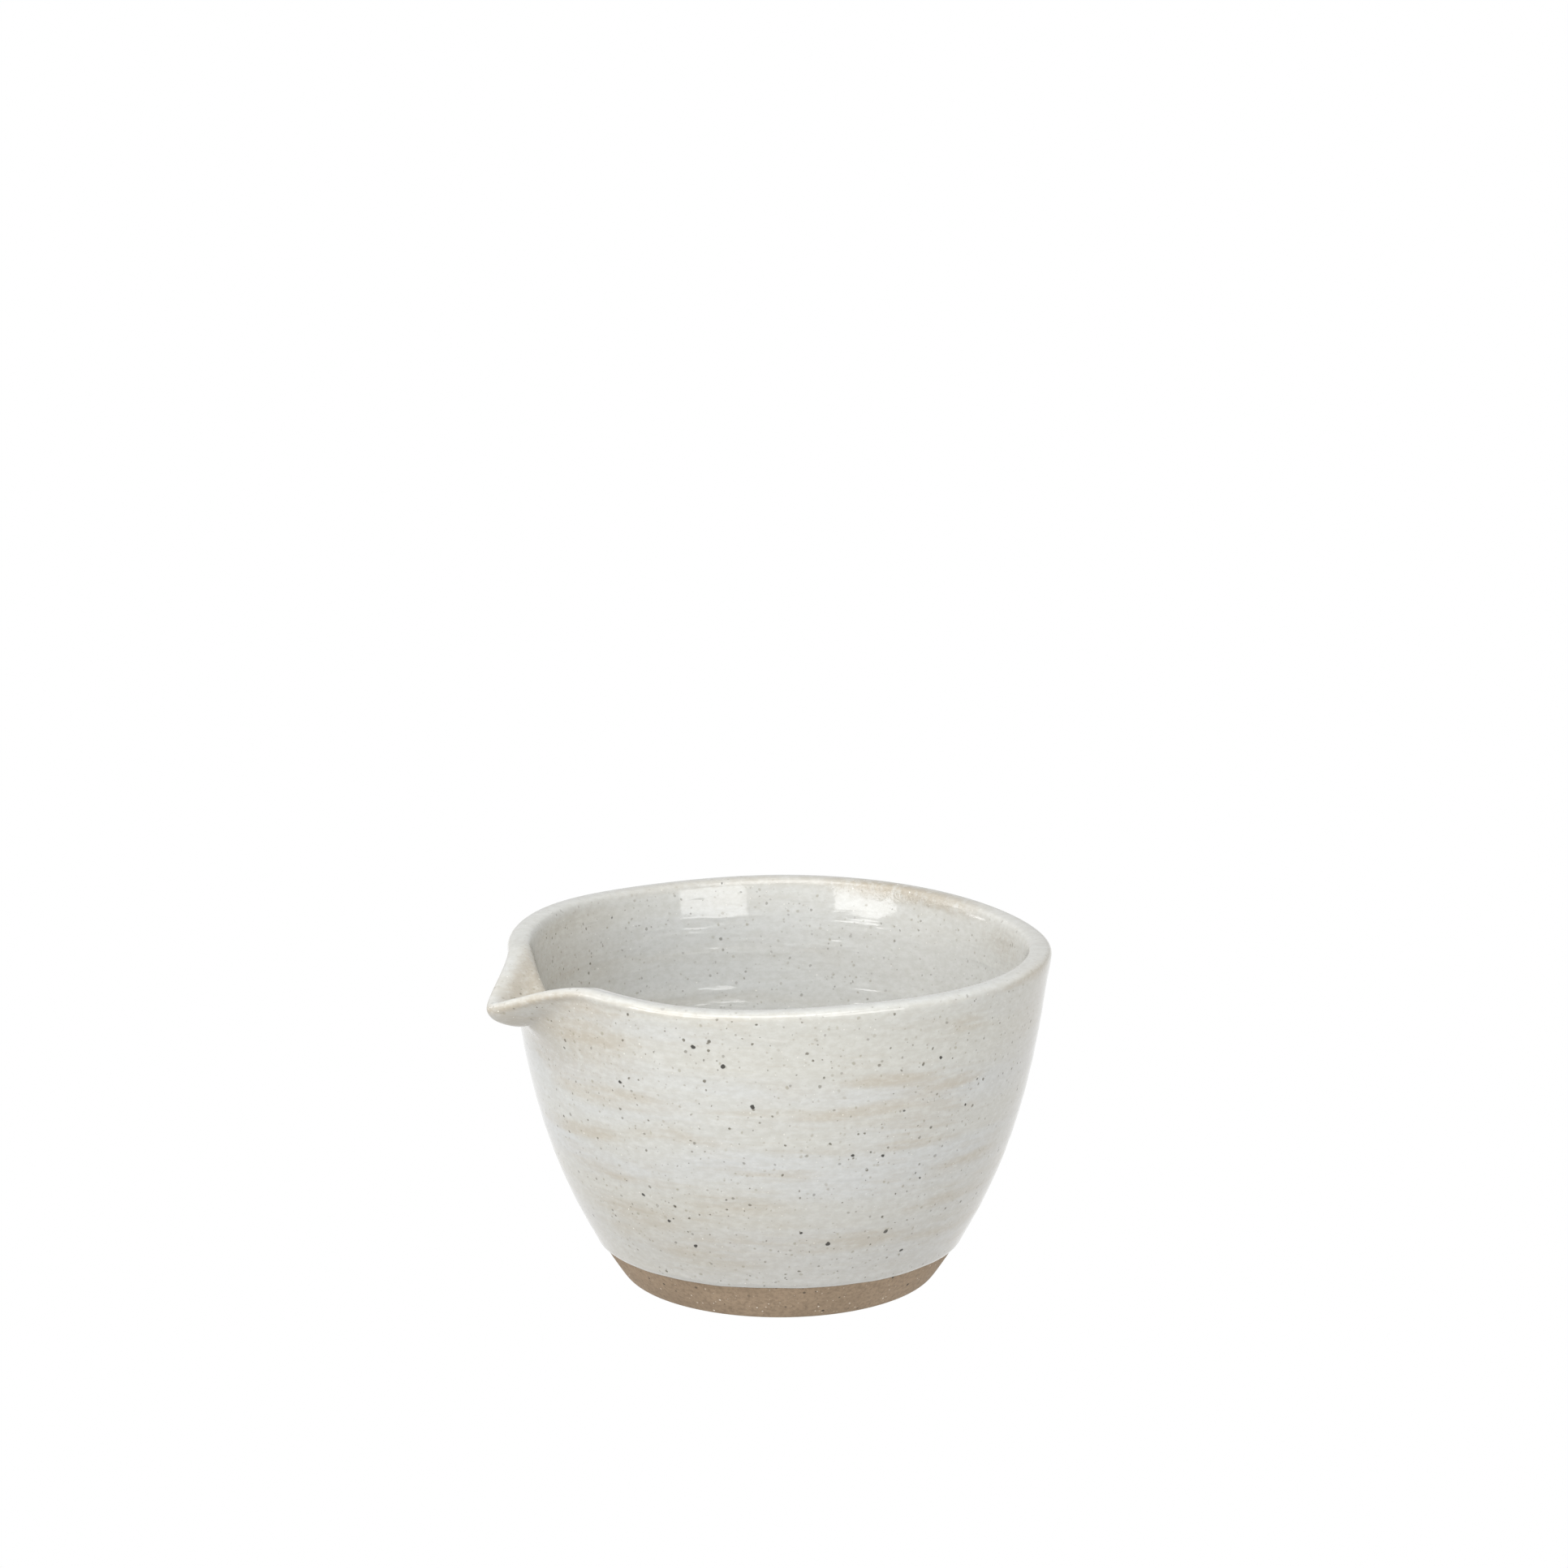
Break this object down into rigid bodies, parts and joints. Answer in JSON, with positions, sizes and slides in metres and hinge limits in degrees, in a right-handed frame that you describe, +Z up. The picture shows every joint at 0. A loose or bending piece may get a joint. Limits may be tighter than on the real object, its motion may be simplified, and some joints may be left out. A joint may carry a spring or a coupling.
{
  "type": "pouring bowl",
  "caption": "Hand-thrown stoneware bowl with a pulled pouring spout, speckled pale glaze inside and out and a bare clay band above the foot.",
  "frame": {"origin": "centre of the foot, on the plane that the bowl stands on", "axes": "+Z up through the mouth, -X towards the pouring spout; the bowl is symmetric about the XZ plane"},
  "size_m": [0.1625, 0.15, 0.0944],
  "materials": {
    "stoneware": "bare fired stoneware, matt and gritty",
    "glaze": "glossy off-white speckled glaze"
  },
  "bodies": {
    "root": {"stoneware_body": "stoneware", "glaze_coat": "glaze"}
  },
  "joints": []
}
